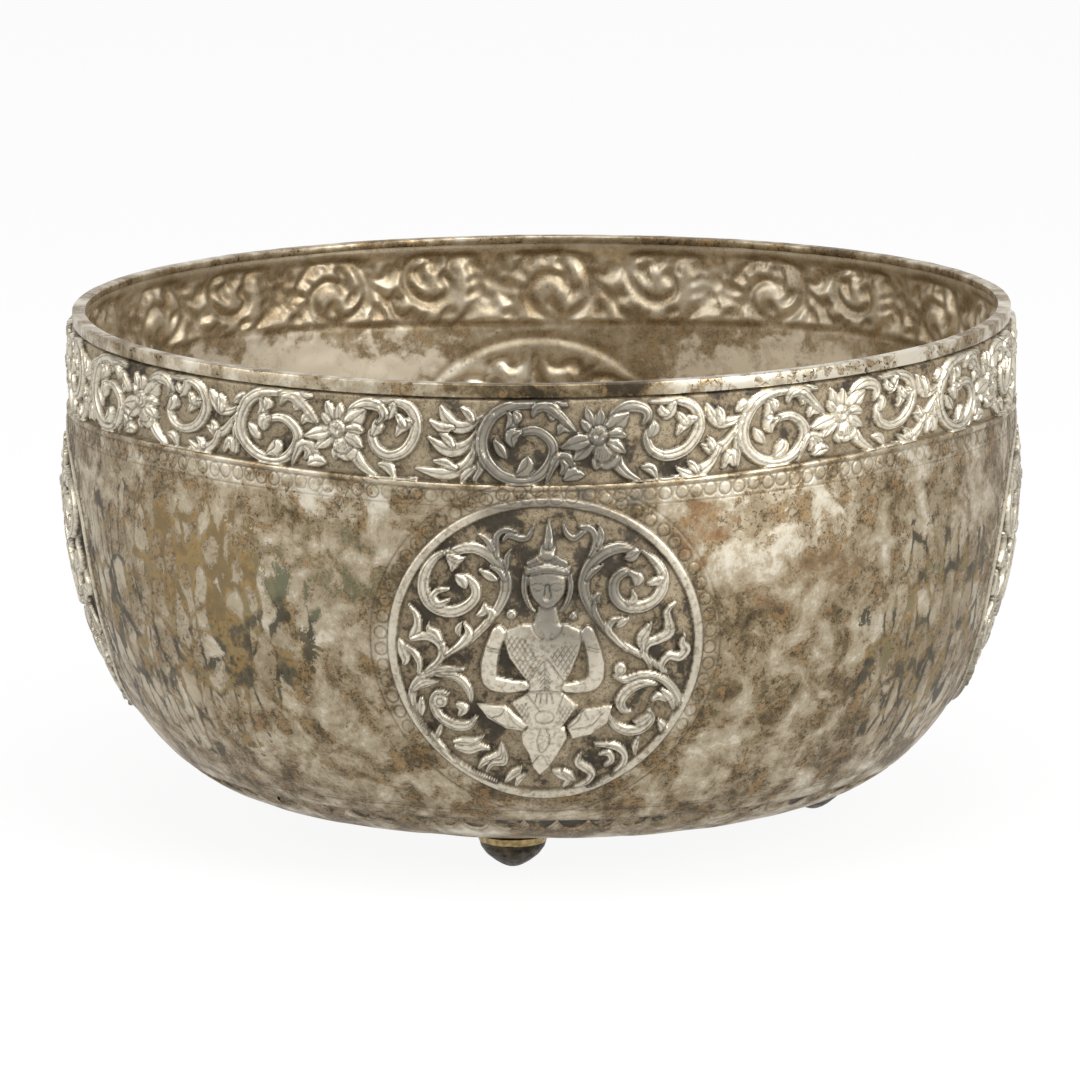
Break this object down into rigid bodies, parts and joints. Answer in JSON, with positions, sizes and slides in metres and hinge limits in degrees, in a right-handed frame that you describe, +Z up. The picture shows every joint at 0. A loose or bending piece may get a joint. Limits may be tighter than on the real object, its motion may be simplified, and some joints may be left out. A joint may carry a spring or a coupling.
{
  "type": "footed bowl",
  "caption": "Round raised silver bowl with upright sides, a chased scroll frieze, round figure panels and a hoop over the edge, on half-ball feet.",
  "frame": {"origin": "middle of the bowl on the surface that its feet stand on", "axes": "+Z up out of the mouth, -Y towards the front, where one round panel and, a little to its left, one foot face the viewer"},
  "size_m": [0.2532, 0.2532, 0.1346],
  "materials": {
    "chased_silver": "aged silver, dark tarnish in the chased ground, bright on the raised metal",
    "hoop_silver": "worn silver, softly polished",
    "foot_silver": "dark tarnished silver",
    "solder": "dull yellow hard solder"
  },
  "bodies": {
    "root": {"bowl_shell": "chased_silver", "rim_hoop": "hoop_silver", "foot_front": "foot_silver", "foot_right": "foot_silver", "foot_back": "foot_silver", "foot_left": "foot_silver", "foot_seat_front": "solder", "foot_seat_right": "solder", "foot_seat_back": "solder", "foot_seat_left": "solder"}
  },
  "joints": []
}
